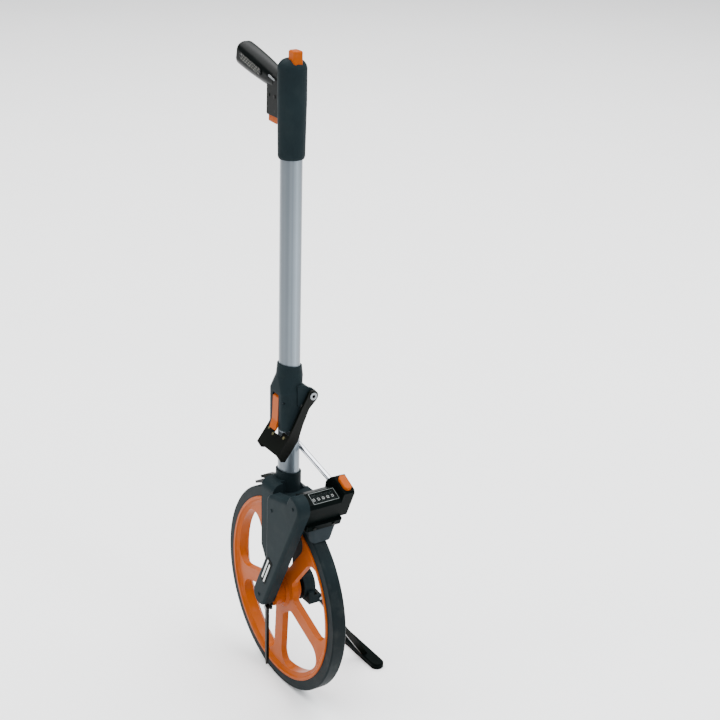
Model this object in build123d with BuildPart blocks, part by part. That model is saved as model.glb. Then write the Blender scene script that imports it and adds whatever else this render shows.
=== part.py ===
from build123d import *

import math
import os

os.makedirs("parts", exist_ok=True)

# ---------------------------------------------------------------------------
# Frame: +X is the way the wheel rolls, +Y is the user's left, +Z is up.
# The origin is the point where the tyre touches the ground under the axle.
# ---------------------------------------------------------------------------

# Wheel: one turn measures one metre.
METRES_PER_TURN = 1.0
TYRE_R = 1000.0 * METRES_PER_TURN / (2.0 * math.pi)
TYRE_W = 22.0
TYRE_BORE_R = 143.0
TYRE_EDGE = 2.0
RIM_W = 26.0
RIM_LIP_R = 138.5
RIM_STEP_R = 136.5
RIM_STEP_W = 21.0
RIM_INNER_R = 131.5
RIM_INNER_W = 15.0
SPOKES = 5
FIRST_SPOKE = -93.8
SPOKE_W = 22.0
SPOKE_FRONT_Y = -8.0
SPOKE_BACK_Y = 2.0
WEB_DISC_R = 38.0
HUB_R = 23.0
HUB_NEAR_Y = -26.0
HUB_FAR_Y = 15.0
AXLE_Z = TYRE_R

# Axle and bearings
AXLE_R = 4.0
BEARING_R = 11.0
BEARING_W = 7.0
RUNNING_FIT = 0.05
CUT_THROUGH = 120.0
FREE_GAP = 0.4

# Frame tubes
TUBE_Y = 4.0
UPPER_TUBE_R = 15.5
LOWER_TUBE_R = 16.0
TUBE_WALL = 1.5
LOWER_TUBE_BOTTOM_Z = 339.0
LOWER_TUBE_TOP_Z = 479.0
UPPER_TUBE_BOTTOM_Z = 493.0
UPPER_TUBE_TOP_Z = 938.0

# Fork
CROWN_FRONT_X = 14.0
CROWN_NEAR_Y = -34.0
CROWN_FAR_Y = 34.0
CROWN_BOTTOM_Z = 320.5
CROWN_TOP_Z = 347.0
CROWN_ROUND = 14.0
SOCKET_R = 18.8
SOCKET_RIM_Z = 357.0
SOCKET_SLANT = 9.0
RIM_REACH = 40.0
NEAR_LEG_INNER_Y = -17.0
NEAR_LEG_BOTTOM_Z = 205.0
FAR_LEG_INNER_Y = 20.0
FAR_LEG_OUTER_Y = 34.0
FAR_BOSS_R = 25.0
FAR_BOSS_Y = 39.0
NUT_T = 5.0
LEG_REAR_X = -13.0
BRIDGE_NEAR_Y = -24.0
BRIDGE_FAR_Y = 31.0
BRIDGE_FRONT_X = 66.0
BRIDGE_BLOCK = 18.0
BRIDGE_T = 6.5

# Drive case on the near leg, leaning forward towards the counter
LEAN = 25.0
CASE_INNER_Y = -27.0
CASE_OUTER_Y = -46.0
CASE_SPLIT_Y = -36.0
CASE_R = 17.8
CASE_WALL = 2.2
PULLEY_R = 10.5
PULLEY_W = 8.0
PULLEY_NEAR_Y = -40.0
BELT_W = 5.2
BELT_T = 1.8

# Counter, in its own leaning frame: t runs forward along the tread, n outward
DRUM_T = 9.4
DRUM_N = 213.0
DRUM_R = 9.5
DRUM_W = 6.6
DRUM_PITCH = 7.6
DRUMS = 5
COUNTER_MID_Y = 2.0
CASE_NEAR_END_Y = -27.0
CASE_FAR_END_Y = 26.0
COUNTER_TOP_N = 225.5
COUNTER_BOTTOM_N = 186.0
COUNTER_FRONT_T = 24.0
COUNTER_REAR_T = -15.0
COUNTER_WALL = 2.2
WINDOW_T0 = 0.0
WINDOW_T1 = 18.7
WINDOW_LEN = 40.0
GLASS = 1.6
PLATE_N = 176.0
PLATE_FRONT_T = 29.0
PLATE_REAR_T = -18.0
PLATE_NEAR_Y = -24.0
PLATE_FAR_Y = 34.0
BLOCK_NEAR_Y = 26.3
BLOCK_FAR_Y = 44.0

# Folding joint
PIN_Y = 26.0
PIN_Z = 481.0
PIN_R = 4.0
EAR_HALF_X = 24.7
KNUCKLE_HALF_X = 14.8
SLEEVE_BOTTOM_Z = 430.0
SLEEVE_TOP_Z = 525.0
SLEEVE_TOP_R = 17.6
SLEEVE_COLLAR_R = 19.6
SLEEVE_COLLAR_Z = 509.0
SLEEVE_CORNER_R = 9.0
SLEEVE_FLOOR_Z = 483.0
STIRRUP_IN_X = 26.7
STIRRUP_OUT_X = 30.7

# Handle
HOUSING_X = 1.0
HOUSING_BOTTOM_Z = 826.0
HOUSING_BOTTOM_R = 18.8
HOUSING_R = 20.0
HOUSING_WIDEST_Z = 905.0
HOUSING_TOP_Z = 961.0
BUTTON_X = 9.0
BUTTON_LEN = 17.5
BUTTON_WIDTH = 14.5
BUTTON_TOP_Z = 973.0
BUTTON_EDGE_R = 3.0

# Stand
LEG_X = 20.0
LEG_W = 12.0
LEG_T = 8.0
STAND_PIN_Y = 45.0
STAND_PIN_Z = 141.0
STAND_FOOT_Y = 135.0
FOOT_REAR_X = -84.0
FOOT_FRONT_X = 62.0
FOOT_W = 21.0
FOOT_H = 9.0


# Fixings, small pins and remaining sizes
LEG_FRONT_X = 21.0
CASE_REAR_FOOT = (1.0, 199.0)
CASE_REAR_KNEE = (20.7, 236.0)
CASE_REAR_TOP = (22.7, 338.0)
COVER_SCREWS = [(0.0, AXLE_Z), (38.0, 318.0), (98.6, 348.2)]
CASE_CORNER_R = 12.0
COVER_EDGE_R = 5.0
LABEL_X = 24.0
LABEL_Z = 212.0
LABEL_LEAN = 27.0
LABEL_LEN = 52.0
LABEL_W = 15.0
SHAFT_R = 2.5
GUARD_R = 161.4
LUG_T = 3.6
POINTER_X = 4.0
POINTER_PIN_Z = 135.5
POINTER_PIN_R = 1.6
POINTER_TIP_Z = 33.0
POINTER_FAR_Y = -31.0
POINTER_NEAR_Y = -35.5
RESET_T = 6.0
RESET_LEN = 26.0
RESET_WIDE = 12.5
GUIDE_R = 4.0
GUIDE_LOW = (63.0, 35.0, 362.0)
GUIDE_HIGH = (4.0, 16.0, 399.5)
PIN_HALF = 31.0
SLEEVE_HALF_X = 23.0
SLEEVE_OUT_Y = -18.5
SLEEVE_OPEN_Y = 16.0
EAR_T = 8.2
EAR_R = 9.0
EAR_TOP_Z = 497.0
LATCH_W = 16.0
LATCH_TOP_Z = 482.5
LATCH_PIN_Y = -15.8
LATCH_PIN_Z = 474.0
LATCH_PIN_R = 1.4
STEM_HALF_W = 12.0
GRIP_SECTIONS = [(-22.0, 25.0, 26.0, 0.0), (10.0, 27.0, 31.0, 0.0), (86.0, 28.0, 35.0, 0.5)]
GRIP_END_R = 8.0
PAD_OUT = 14.2
PAD_T = 0.7
PAD_LEN = 62.0
PAD_W = 10.0
HOUSING_DOME_R = 14.0
CORE_SIZE = 13.0
CORE_LEN = 76.0
TRIGGER_W = 18.0
TRIGGER_PIN_X = -25.5
TRIGGER_PIN_Z = 885.0
TRIGGER_PIN_R = 1.5
BRAKE_ARM_W = 10.0
BRAKE_EAR_T = 3.5
BRAKE_PIN_X = -26.0
BRAKE_EAR_R = 6.0
BRAKE_PIN_Z = 332.0
BRAKE_PIN_R = 2.0
SHOE_R = 162.6
SHOE_HALF_W = 9.0
STAND_PIN_R = 2.5

GUIDE_DIR = (Vector(*GUIDE_LOW) - Vector(*GUIDE_HIGH)).normalized()
GUIDE_LEN = (Vector(*GUIDE_LOW) - Vector(*GUIDE_HIGH)).length
GUIDE_PLANE = Plane(origin=GUIDE_LOW, z_dir=GUIDE_DIR)


def finish(piece, name):
    """Label a finished piece and write it under its node name."""
    piece.part.label = name
    export_step(piece.part, "parts/" + name + ".step")


def across(y, lean=0.0):
    """Plane seen from the user's right: x forward, y up, facing -Y, at the axle height."""
    c = math.cos(math.radians(lean))
    s = math.sin(math.radians(lean))
    return Plane(origin=(0, y, AXLE_Z), x_dir=(c, 0, -s), z_dir=(0, -1, 0))


def profile_x(x):
    """Plane facing forward at the given x: sketch x is world Y, sketch y is world Z."""
    return Plane(origin=(x, 0, 0), x_dir=(0, 1, 0), z_dir=(1, 0, 0))


def profile_y(y):
    """Plane facing -Y at the given y: sketch x is world X, sketch y is world Z."""
    return Plane(origin=(0, y, 0), x_dir=(1, 0, 0), z_dir=(0, -1, 0))


def counter_point(t, n, y):
    """World position of a point given in the counter's leaning frame."""
    c = math.cos(math.radians(LEAN))
    s = math.sin(math.radians(LEAN))
    return (t * c + n * s, y, AXLE_Z - t * s + n * c)


def helix_spring(origin, direction, length, radius, wire, turns):
    """Coil spring as a round wire swept along a helix."""
    with BuildPart() as coil:
        with BuildLine(Plane(origin=origin, z_dir=direction)):
            Helix(pitch=length / turns, height=length, radius=radius)
        start = coil.pending_edges[0] @ 0
        tangent = coil.pending_edges[0] % 0
        with BuildSketch(Plane(origin=start, z_dir=tangent)):
            Circle(wire)
        sweep(is_frenet=True)
    return coil


# ---------------------------------------------------------------------------
# Wheel
# ---------------------------------------------------------------------------
AXLE_AXIS = Axis((0, 0, AXLE_Z), (0, 1, 0))
AXLE_PLANE = Plane(origin=(0, 0, AXLE_Z), x_dir=(0, 1, 0), z_dir=(1, 0, 0))

with BuildPart() as tyre:
    with BuildSketch(AXLE_PLANE):
        with BuildLine():
            Polyline(
                (-TYRE_W / 2, TYRE_BORE_R),
                (-TYRE_W / 2, TYRE_R - TYRE_EDGE),
                (-TYRE_W / 2 + TYRE_EDGE, TYRE_R),
                (TYRE_W / 2 - TYRE_EDGE, TYRE_R),
                (TYRE_W / 2, TYRE_R - TYRE_EDGE),
                (TYRE_W / 2, TYRE_BORE_R),
                close=True,
            )
        make_face()
    revolve(axis=AXLE_AXIS)
finish(tyre, "tyre")

RIM_SECTION = [
    (-RIM_W / 2, TYRE_BORE_R - 1.0),
    (-RIM_W / 2, RIM_LIP_R),
    (-RIM_STEP_W / 2, RIM_STEP_R),
    (-RIM_INNER_W / 2, RIM_INNER_R),
    (RIM_INNER_W / 2, RIM_INNER_R),
    (RIM_STEP_W / 2, RIM_STEP_R),
    (RIM_W / 2, RIM_LIP_R),
    (RIM_W / 2, TYRE_BORE_R - 1.0),
    (RIM_W / 2 - 1.0, TYRE_BORE_R),
    (-RIM_W / 2 + 1.0, TYRE_BORE_R),
]

with BuildPart() as wheel_disc:
    with BuildSketch(AXLE_PLANE):
        with BuildLine():
            Polyline(*RIM_SECTION, close=True)
        make_face()
    revolve(axis=AXLE_AXIS)
    # web, opened between the spokes with rounded corners
    with BuildSketch(across(SPOKE_BACK_Y)):
        Circle(RIM_INNER_R + 1.0)
    extrude(amount=SPOKE_BACK_Y - SPOKE_FRONT_Y)
    with BuildSketch(across(SPOKE_BACK_Y)) as openings:
        Circle(RIM_INNER_R)
        Circle(WEB_DISC_R, mode=Mode.SUBTRACT)
        with PolarLocations(0, SPOKES, start_angle=FIRST_SPOKE):
            with Locations((RIM_INNER_R / 2 + 5.0, 0)):
                Rectangle(RIM_INNER_R + 10.0, SPOKE_W, mode=Mode.SUBTRACT)
        corners = openings.vertices()
        rim_corners = corners.filter_by(lambda v: math.hypot(v.X, v.Y) > RIM_INNER_R - 5)
        fillet(rim_corners, 22.0)
        corners = openings.vertices()
        hub_corners = corners.filter_by(lambda v: math.hypot(v.X, v.Y) < WEB_DISC_R + 5)
        fillet(hub_corners, 10.0)
    extrude(amount=SPOKE_BACK_Y - SPOKE_FRONT_Y, mode=Mode.SUBTRACT)
    # hub barrel
    with BuildSketch(across(HUB_FAR_Y)):
        Circle(HUB_R)
    extrude(amount=HUB_FAR_Y - HUB_NEAR_Y)
    with BuildSketch(across(SPOKE_FRONT_Y)):
        Circle(HUB_R + 6.0)
    extrude(amount=4.0, taper=45)
    # bore for the axle, with a seat for a bearing at each end
    with BuildSketch(across(HUB_FAR_Y)):
        Circle(AXLE_R + 2.0)
    extrude(amount=HUB_FAR_Y - HUB_NEAR_Y, mode=Mode.SUBTRACT)
    for seat_y in (HUB_FAR_Y, HUB_NEAR_Y + BEARING_W):
        with BuildSketch(across(seat_y)):
            Circle(BEARING_R)
        extrude(amount=BEARING_W, mode=Mode.SUBTRACT)
finish(wheel_disc, "wheel_disc")

with BuildPart() as hub_bearings:
    for seat_y in (HUB_FAR_Y, HUB_NEAR_Y + BEARING_W):
        with BuildSketch(across(seat_y)):
            Circle(BEARING_R)
            Circle(AXLE_R + RUNNING_FIT, mode=Mode.SUBTRACT)
        extrude(amount=BEARING_W)
finish(hub_bearings, "hub_bearings")

with BuildPart() as hub_pulley:
    with BuildSketch(across(HUB_NEAR_Y)):
        Circle(7.5)
    extrude(amount=HUB_NEAR_Y - (PULLEY_NEAR_Y + PULLEY_W))
    with BuildSketch(across(PULLEY_NEAR_Y + PULLEY_W)):
        Circle(PULLEY_R + 1.6)
    extrude(amount=PULLEY_W)
    with BuildSketch(across(PULLEY_NEAR_Y + PULLEY_W - 1.0)):
        Circle(PULLEY_R + 2.0)
        Circle(PULLEY_R - 0.4, mode=Mode.SUBTRACT)
    extrude(amount=PULLEY_W - 2.0, mode=Mode.SUBTRACT)
    with BuildSketch(across(HUB_NEAR_Y)):
        Circle(AXLE_R + FREE_GAP)
    extrude(amount=HUB_NEAR_Y - PULLEY_NEAR_Y, mode=Mode.SUBTRACT)
finish(hub_pulley, "hub_pulley")

# ---------------------------------------------------------------------------
# Axle, fork and drive case
# ---------------------------------------------------------------------------
with BuildPart() as axle:
    with BuildSketch(across(FAR_BOSS_Y + NUT_T)):
        Circle(AXLE_R)
    extrude(amount=FAR_BOSS_Y + NUT_T - (CASE_OUTER_Y + CASE_WALL))
finish(axle, "axle")

with BuildPart() as axle_nut:
    with BuildSketch(across(FAR_BOSS_Y + NUT_T)):
        RegularPolygon(7.5, 6)
        Circle(AXLE_R, mode=Mode.SUBTRACT)
    extrude(amount=NUT_T)
finish(axle_nut, "axle_nut")

with BuildPart() as fork:
    # one arch over the tyre: crown, near leg with a round shoulder, sloping far leg
    with BuildSketch(profile_x(LEG_REAR_X)) as arch:
        with BuildLine():
            Polyline(
                (CROWN_NEAR_Y, NEAR_LEG_BOTTOM_Z),
                (CROWN_NEAR_Y, CROWN_TOP_Z),
                (12.0, CROWN_TOP_Z),
                (22.0, 329.0),
                (CROWN_FAR_Y, CROWN_BOTTOM_Z + 1),
                (CROWN_FAR_Y, NEAR_LEG_BOTTOM_Z),
                (FAR_LEG_INNER_Y, NEAR_LEG_BOTTOM_Z),
                (FAR_LEG_INNER_Y, CROWN_BOTTOM_Z - 7),
                (13.0, CROWN_BOTTOM_Z),
                (NEAR_LEG_INNER_Y, CROWN_BOTTOM_Z),
                (NEAR_LEG_INNER_Y, NEAR_LEG_BOTTOM_Z),
                close=True,
            )
        make_face()
        shoulder = arch.vertices().sort_by_distance((CROWN_NEAR_Y, CROWN_TOP_Z, 0))[0]
        fillet(shoulder, CROWN_ROUND)
    extrude(amount=CROWN_FRONT_X - LEG_REAR_X)
    with BuildSketch(profile_x(LEG_REAR_X)) as shell:
        with Locations(((CROWN_NEAR_Y + NEAR_LEG_INNER_Y) / 2, (NEAR_LEG_BOTTOM_Z + CROWN_TOP_Z) / 2)):
            Rectangle(NEAR_LEG_INNER_Y - CROWN_NEAR_Y, CROWN_TOP_Z - NEAR_LEG_BOTTOM_Z)
        shoulder = shell.vertices().sort_by_distance((CROWN_NEAR_Y, CROWN_TOP_Z, 0))[0]
        fillet(shoulder, CROWN_ROUND)
    extrude(amount=LEG_FRONT_X - LEG_REAR_X)
    # the near leg stops above the hub, cut back on a slope
    with BuildSketch(profile_y(NEAR_LEG_INNER_Y + 1)):
        with BuildLine():
            Polyline(
                (LEG_REAR_X - 1, 238),
                (8, NEAR_LEG_BOTTOM_Z - 1),
                (LEG_REAR_X - 1, NEAR_LEG_BOTTOM_Z - 1),
                close=True,
            )
        make_face()
    extrude(amount=NEAR_LEG_INNER_Y + 1 - CROWN_NEAR_Y + 1, mode=Mode.SUBTRACT)
    # room for the drive case against the near leg
    with BuildSketch(profile_y(CASE_INNER_Y)):
        with BuildLine():
            Polyline(
                (-19, 156),
                (CASE_REAR_FOOT[0] - 1.2, CASE_REAR_FOOT[1]),
                (CASE_REAR_KNEE[0] - 1.8, CASE_REAR_KNEE[1]),
                (CASE_REAR_TOP[0] - 0.3, CROWN_TOP_Z + 5),
                (LEG_FRONT_X + 10, CROWN_TOP_Z + 5),
                (LEG_FRONT_X + 10, 158),
                close=True,
            )
        make_face()
    extrude(amount=20, mode=Mode.SUBTRACT)
    # flange behind the drive case
    with BuildSketch(profile_y(NEAR_LEG_INNER_Y - 3)):
        with BuildLine():
            Polyline(
                (LEG_REAR_X + 5, NEAR_LEG_BOTTOM_Z + 12),
                (8, NEAR_LEG_BOTTOM_Z),
                (36, 218),
                (56, 262),
                (64, 300),
                (LEG_REAR_X + 5, 320),
                close=True,
            )
        make_face()
    extrude(amount=NEAR_LEG_INNER_Y - 3 - CASE_INNER_Y)
    # far arm down to the axle
    with BuildSketch(profile_y(FAR_LEG_OUTER_Y)):
        with BuildLine():
            Polyline(
                (LEG_REAR_X, NEAR_LEG_BOTTOM_Z + 1),
                (-14, AXLE_Z),
                (14, AXLE_Z),
                (CROWN_FRONT_X, NEAR_LEG_BOTTOM_Z + 1),
                close=True,
            )
        make_face()
        with Locations((0, AXLE_Z)):
            Circle(FAR_BOSS_R)
    extrude(amount=FAR_LEG_OUTER_Y - FAR_LEG_INNER_Y)
    with BuildSketch(across(FAR_BOSS_Y)):
        Circle(FAR_BOSS_R)
    extrude(amount=FAR_BOSS_Y - FAR_LEG_OUTER_Y + 1)
    with BuildSketch(across(FAR_LEG_INNER_Y + 1)):
        Circle(8.0)
    extrude(amount=3.5)
    # lugs for the stand pin
    for lug_x in (LEG_X - LEG_W / 2 - FREE_GAP - LUG_T, LEG_X + LEG_W / 2 + FREE_GAP):
        with BuildSketch(profile_x(lug_x)):
            with Locations((STAND_PIN_Y, STAND_PIN_Z)):
                Circle(6.0)
            with Locations(((FAR_LEG_OUTER_Y - 4 + STAND_PIN_Y) / 2, STAND_PIN_Z)):
                Rectangle(STAND_PIN_Y - FAR_LEG_OUTER_Y + 4, 12.0)
        extrude(amount=LUG_T)
    with BuildSketch(profile_x(LEG_X - LEG_W / 2 - FREE_GAP - LUG_T)):
        with Locations((FAR_LEG_OUTER_Y - 4.5, STAND_PIN_Z + 4)):
            Rectangle(9.0, 20.0)
    extrude(amount=LEG_W + 2 * FREE_GAP + 2 * LUG_T)
    # low bridge forward to the counter plate
    with BuildSketch(Plane.XY.offset(CROWN_BOTTOM_Z)):
        with Locations(((CROWN_FRONT_X + BRIDGE_FRONT_X) / 2 - 2, (BRIDGE_NEAR_Y + BRIDGE_FAR_Y) / 2)):
            Rectangle(BRIDGE_FRONT_X - CROWN_FRONT_X + 4, BRIDGE_FAR_Y - BRIDGE_NEAR_Y)
    extrude(amount=BRIDGE_T)
    with BuildSketch(Plane.XY.offset(CROWN_BOTTOM_Z)):
        with Locations((BRIDGE_FRONT_X - BRIDGE_BLOCK / 2, (BRIDGE_NEAR_Y + BRIDGE_FAR_Y) / 2)):
            Rectangle(BRIDGE_BLOCK, BRIDGE_FAR_Y - BRIDGE_NEAR_Y)
    extrude(amount=BRIDGE_BLOCK)
    with BuildSketch(across(PLATE_FAR_Y + 4, LEAN)):
        with Locations((PLATE_REAR_T + 40, PLATE_N + 20)):
            Rectangle(80, 80)
    extrude(amount=PLATE_FAR_Y - BRIDGE_NEAR_Y + 12, mode=Mode.SUBTRACT)
    # socket for the lower tube, with a slanted rim
    with BuildSketch(Plane.XY.offset(CROWN_BOTTOM_Z)):
        with Locations((0, TUBE_Y)):
            Circle(SOCKET_R)
    extrude(amount=SOCKET_RIM_Z - CROWN_BOTTOM_Z + 6)
    with BuildSketch(profile_x(-SOCKET_R - 5)):
        with BuildLine():
            rise = math.tan(math.radians(SOCKET_SLANT)) * RIM_REACH
            Polyline(
                (TUBE_Y - RIM_REACH, SOCKET_RIM_Z + rise),
                (TUBE_Y + RIM_REACH, SOCKET_RIM_Z - rise),
                (TUBE_Y + RIM_REACH, SOCKET_RIM_Z + RIM_REACH),
                (TUBE_Y - RIM_REACH, SOCKET_RIM_Z + RIM_REACH),
                close=True,
            )
        make_face()
    extrude(amount=2 * SOCKET_R + 10, mode=Mode.SUBTRACT)
    with BuildSketch(Plane.XY.offset(LOWER_TUBE_BOTTOM_Z)):
        with Locations((0, TUBE_Y)):
            Circle(LOWER_TUBE_R)
    extrude(amount=60, mode=Mode.SUBTRACT)
    # flat at the back of the socket, clear of the brake arm
    with BuildSketch(Plane.XY.offset(CROWN_BOTTOM_Z - 1)):
        with Locations((LEG_REAR_X - 10, TUBE_Y)):
            Rectangle(20, 40)
    extrude(amount=LOWER_TUBE_BOTTOM_Z - CROWN_BOTTOM_Z, mode=Mode.SUBTRACT)
    # ears at the back for the brake arm
    for ear_y in (TUBE_Y + BRAKE_ARM_W / 2 + FREE_GAP + BRAKE_EAR_T, TUBE_Y - BRAKE_ARM_W / 2 - FREE_GAP):
        with BuildSketch(profile_y(ear_y)):
            with Locations((BRAKE_PIN_X, BRAKE_PIN_Z)):
                Circle(BRAKE_EAR_R)
            with Locations(((BRAKE_PIN_X + LEG_REAR_X) / 2 + 1, BRAKE_PIN_Z)):
                Rectangle(LEG_REAR_X - BRAKE_PIN_X + 2, 2 * BRAKE_EAR_R)
        extrude(amount=BRAKE_EAR_T)
    with BuildSketch(profile_y(TUBE_Y + 20)):
        with Locations((BRAKE_PIN_X, BRAKE_PIN_Z)):
            Circle(BRAKE_PIN_R)
    extrude(amount=40, mode=Mode.SUBTRACT)
    # bore for the axle
    with BuildSketch(across(41.0)):
        Circle(AXLE_R)
    extrude(amount=30.0, mode=Mode.SUBTRACT)
    # bore for the stand pin
    with BuildSketch(profile_x(0)):
        with Locations((STAND_PIN_Y, STAND_PIN_Z)):
            Circle(STAND_PIN_R)
    extrude(amount=50.0, mode=Mode.SUBTRACT)
finish(fork, "fork")

SHAFT_X, SHAFT_Y, SHAFT_Z = counter_point(DRUM_T, DRUM_N, 0)


def drive_outline(radius):
    """Slot from the axle to the counter shaft, filled out behind up to the crown."""
    with Locations((SHAFT_X / 2, (SHAFT_Z - AXLE_Z) / 2)):
        SlotCenterToCenter(
            math.hypot(SHAFT_X, SHAFT_Z - AXLE_Z),
            2 * radius,
            rotation=math.degrees(math.atan2(SHAFT_Z - AXLE_Z, SHAFT_X)),
        )


def case_outline(inset):
    """Outline of the drive case, stepped in by the given distance."""
    drive_outline(CASE_R - inset)
    Polygon(
        (CASE_REAR_FOOT[0] + 1.2 * inset, CASE_REAR_FOOT[1] - AXLE_Z),
        (CASE_REAR_KNEE[0] + inset, CASE_REAR_KNEE[1] - AXLE_Z),
        (CASE_REAR_TOP[0] + inset, CASE_REAR_TOP[1] - AXLE_Z - inset),
        (SHAFT_X - CASE_R + 4 + inset, SHAFT_Z - AXLE_Z + 4 - inset),
        (SHAFT_X, SHAFT_Z - AXLE_Z),
        align=None,
    )


CASE_CORNER = (CASE_REAR_TOP[0], CASE_REAR_TOP[1] - AXLE_Z, 0)
with BuildPart() as drive_case:
    with BuildSketch(across(CASE_INNER_Y)) as outer:
        case_outline(0.0)
        fillet(outer.vertices().sort_by_distance(CASE_CORNER)[0], CASE_CORNER_R)
    extrude(amount=CASE_INNER_Y - CASE_SPLIT_Y)
    with BuildSketch(across(CASE_INNER_Y - CASE_WALL)) as inner:
        case_outline(CASE_WALL)
        fillet(inner.vertices().sort_by_distance(CASE_CORNER)[0], CASE_CORNER_R - CASE_WALL)
    extrude(amount=20, mode=Mode.SUBTRACT)
    # tab that carries the pointer
    with BuildSketch(profile_y(CASE_INNER_Y)):
        with Locations((POINTER_X, POINTER_PIN_Z + 4)):
            Rectangle(11.0, 14.0)
        with Locations((POINTER_X, POINTER_PIN_Z)):
            Circle(5.5)
    extrude(amount=CASE_WALL)
    with BuildSketch(profile_y(CASE_INNER_Y)):
        with Locations((POINTER_X, POINTER_PIN_Z)):
            Circle(POINTER_PIN_R)
    extrude(amount=10, mode=Mode.SUBTRACT)
    with BuildSketch(across(CASE_INNER_Y)):
        Circle(9.0)
    extrude(amount=10, mode=Mode.SUBTRACT)
    with BuildSketch(across(CASE_INNER_Y, LEAN)):
        with Locations((DRUM_T, DRUM_N)):
            Circle(SHAFT_R + RUNNING_FIT)
    extrude(amount=10, mode=Mode.SUBTRACT)
finish(drive_case, "drive_case")

with BuildPart() as drive_cover:
    with BuildSketch(across(CASE_SPLIT_Y)) as outer:
        case_outline(0.0)
        fillet(outer.vertices().sort_by_distance(CASE_CORNER)[0], CASE_CORNER_R)
    extrude(amount=CASE_SPLIT_Y - CASE_OUTER_Y)
    fillet(drive_cover.faces().sort_by(Axis.Y)[0].edges(), COVER_EDGE_R)
    with BuildSketch(across(CASE_SPLIT_Y)) as inner:
        case_outline(CASE_WALL)
        fillet(inner.vertices().sort_by_distance(CASE_CORNER)[0], CASE_CORNER_R - CASE_WALL)
    extrude(amount=CASE_SPLIT_Y - CASE_OUTER_Y - CASE_WALL, mode=Mode.SUBTRACT)
finish(drive_cover, "drive_cover")

BELT_Y = PULLEY_NEAR_Y + PULLEY_W / 2
with BuildPart() as drive_belt:
    with BuildSketch(across(BELT_Y + BELT_W / 2)):
        drive_outline(PULLEY_R + BELT_T)
    extrude(amount=BELT_W)
    with BuildSketch(across(BELT_Y + BELT_W / 2)):
        drive_outline(PULLEY_R)
    extrude(amount=BELT_W, mode=Mode.SUBTRACT)
finish(drive_belt, "drive_belt")

with BuildPart() as cover_screws:
    for screw_x, screw_z in COVER_SCREWS:
        with BuildSketch(profile_y(CASE_OUTER_Y)):
            with Locations((screw_x, screw_z)):
                Circle(2.6)
        extrude(amount=1.2)
finish(cover_screws, "cover_screws")

LABEL_PLANE = Plane(
    origin=(LABEL_X, CASE_OUTER_Y, LABEL_Z),
    x_dir=(math.sin(math.radians(LABEL_LEAN)), 0, math.cos(math.radians(LABEL_LEAN))),
    z_dir=(0, -1, 0),
)
with BuildPart() as label_plate:
    with BuildSketch(LABEL_PLANE):
        RectangleRounded(LABEL_LEN, LABEL_W, 3.0)
    extrude(amount=0.5)
finish(label_plate, "label_plate")

with BuildPart() as label_bars:
    with BuildSketch(LABEL_PLANE.offset(0.5)):
        with Locations((1, 3.2), (-2, -3.2)):
            RectangleRounded(LABEL_LEN - 10, 3.0, 1.0)
    extrude(amount=0.4)
finish(label_bars, "label_bars")

# ---------------------------------------------------------------------------
# Pointer that hangs under the drive case
# ---------------------------------------------------------------------------
with BuildPart() as pointer_pin:
    with BuildSketch(profile_y(CASE_INNER_Y)):
        with Locations((POINTER_X, POINTER_PIN_Z)):
            Circle(POINTER_PIN_R)
    extrude(amount=CASE_INNER_Y - POINTER_NEAR_Y + 1.0)
    with BuildSketch(profile_y(POINTER_NEAR_Y - 0.5)):
        with Locations((POINTER_X, POINTER_PIN_Z)):
            Circle(3.2)
    extrude(amount=1.6)
finish(pointer_pin, "pointer_pin")

with BuildPart() as pointer:
    with BuildSketch(profile_y(POINTER_FAR_Y)):
        with Locations((POINTER_X, POINTER_PIN_Z)):
            Circle(4.4)
        with BuildLine():
            Polyline(
                (POINTER_X - 2.6, POINTER_PIN_Z),
                (POINTER_X - 2.2, POINTER_TIP_Z + 9),
                (POINTER_X, POINTER_TIP_Z),
                (POINTER_X + 2.2, POINTER_TIP_Z + 9),
                (POINTER_X + 2.6, POINTER_PIN_Z),
                close=True,
            )
        make_face()
        with Locations((POINTER_X, POINTER_PIN_Z)):
            Circle(POINTER_PIN_R + RUNNING_FIT, mode=Mode.SUBTRACT)
    extrude(amount=POINTER_FAR_Y - POINTER_NEAR_Y)
finish(pointer, "pointer")

# ---------------------------------------------------------------------------
# Counter: plate, case, window, shaft, pulley and five number drums
# ---------------------------------------------------------------------------
with BuildPart() as counter_plate:
    with BuildSketch(across(PLATE_FAR_Y, LEAN)):
        with Locations(((PLATE_FRONT_T + PLATE_REAR_T) / 2, (PLATE_N + COUNTER_BOTTOM_N) / 2)):
            Rectangle(PLATE_FRONT_T - PLATE_REAR_T, COUNTER_BOTTOM_N - PLATE_N)
    extrude(amount=PLATE_FAR_Y - PLATE_NEAR_Y)
    fillet(counter_plate.faces().sort_by(Axis.X)[-1].edges().filter_by(Axis.Y, reverse=True), 3.0)
finish(counter_plate, "counter_plate")

PLATE_FACE = Plane(
    origin=counter_point(PLATE_FRONT_T, (PLATE_N + COUNTER_BOTTOM_N) / 2, 0),
    x_dir=(0, 1, 0),
    z_dir=(math.cos(math.radians(LEAN)), 0, -math.sin(math.radians(LEAN))),
)
with BuildPart() as plate_screws:
    with BuildSketch(PLATE_FACE):
        with Locations((-12, 0), (20, 0)):
            Circle(2.6)
    extrude(amount=1.6)
finish(plate_screws, "plate_screws")

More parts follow.
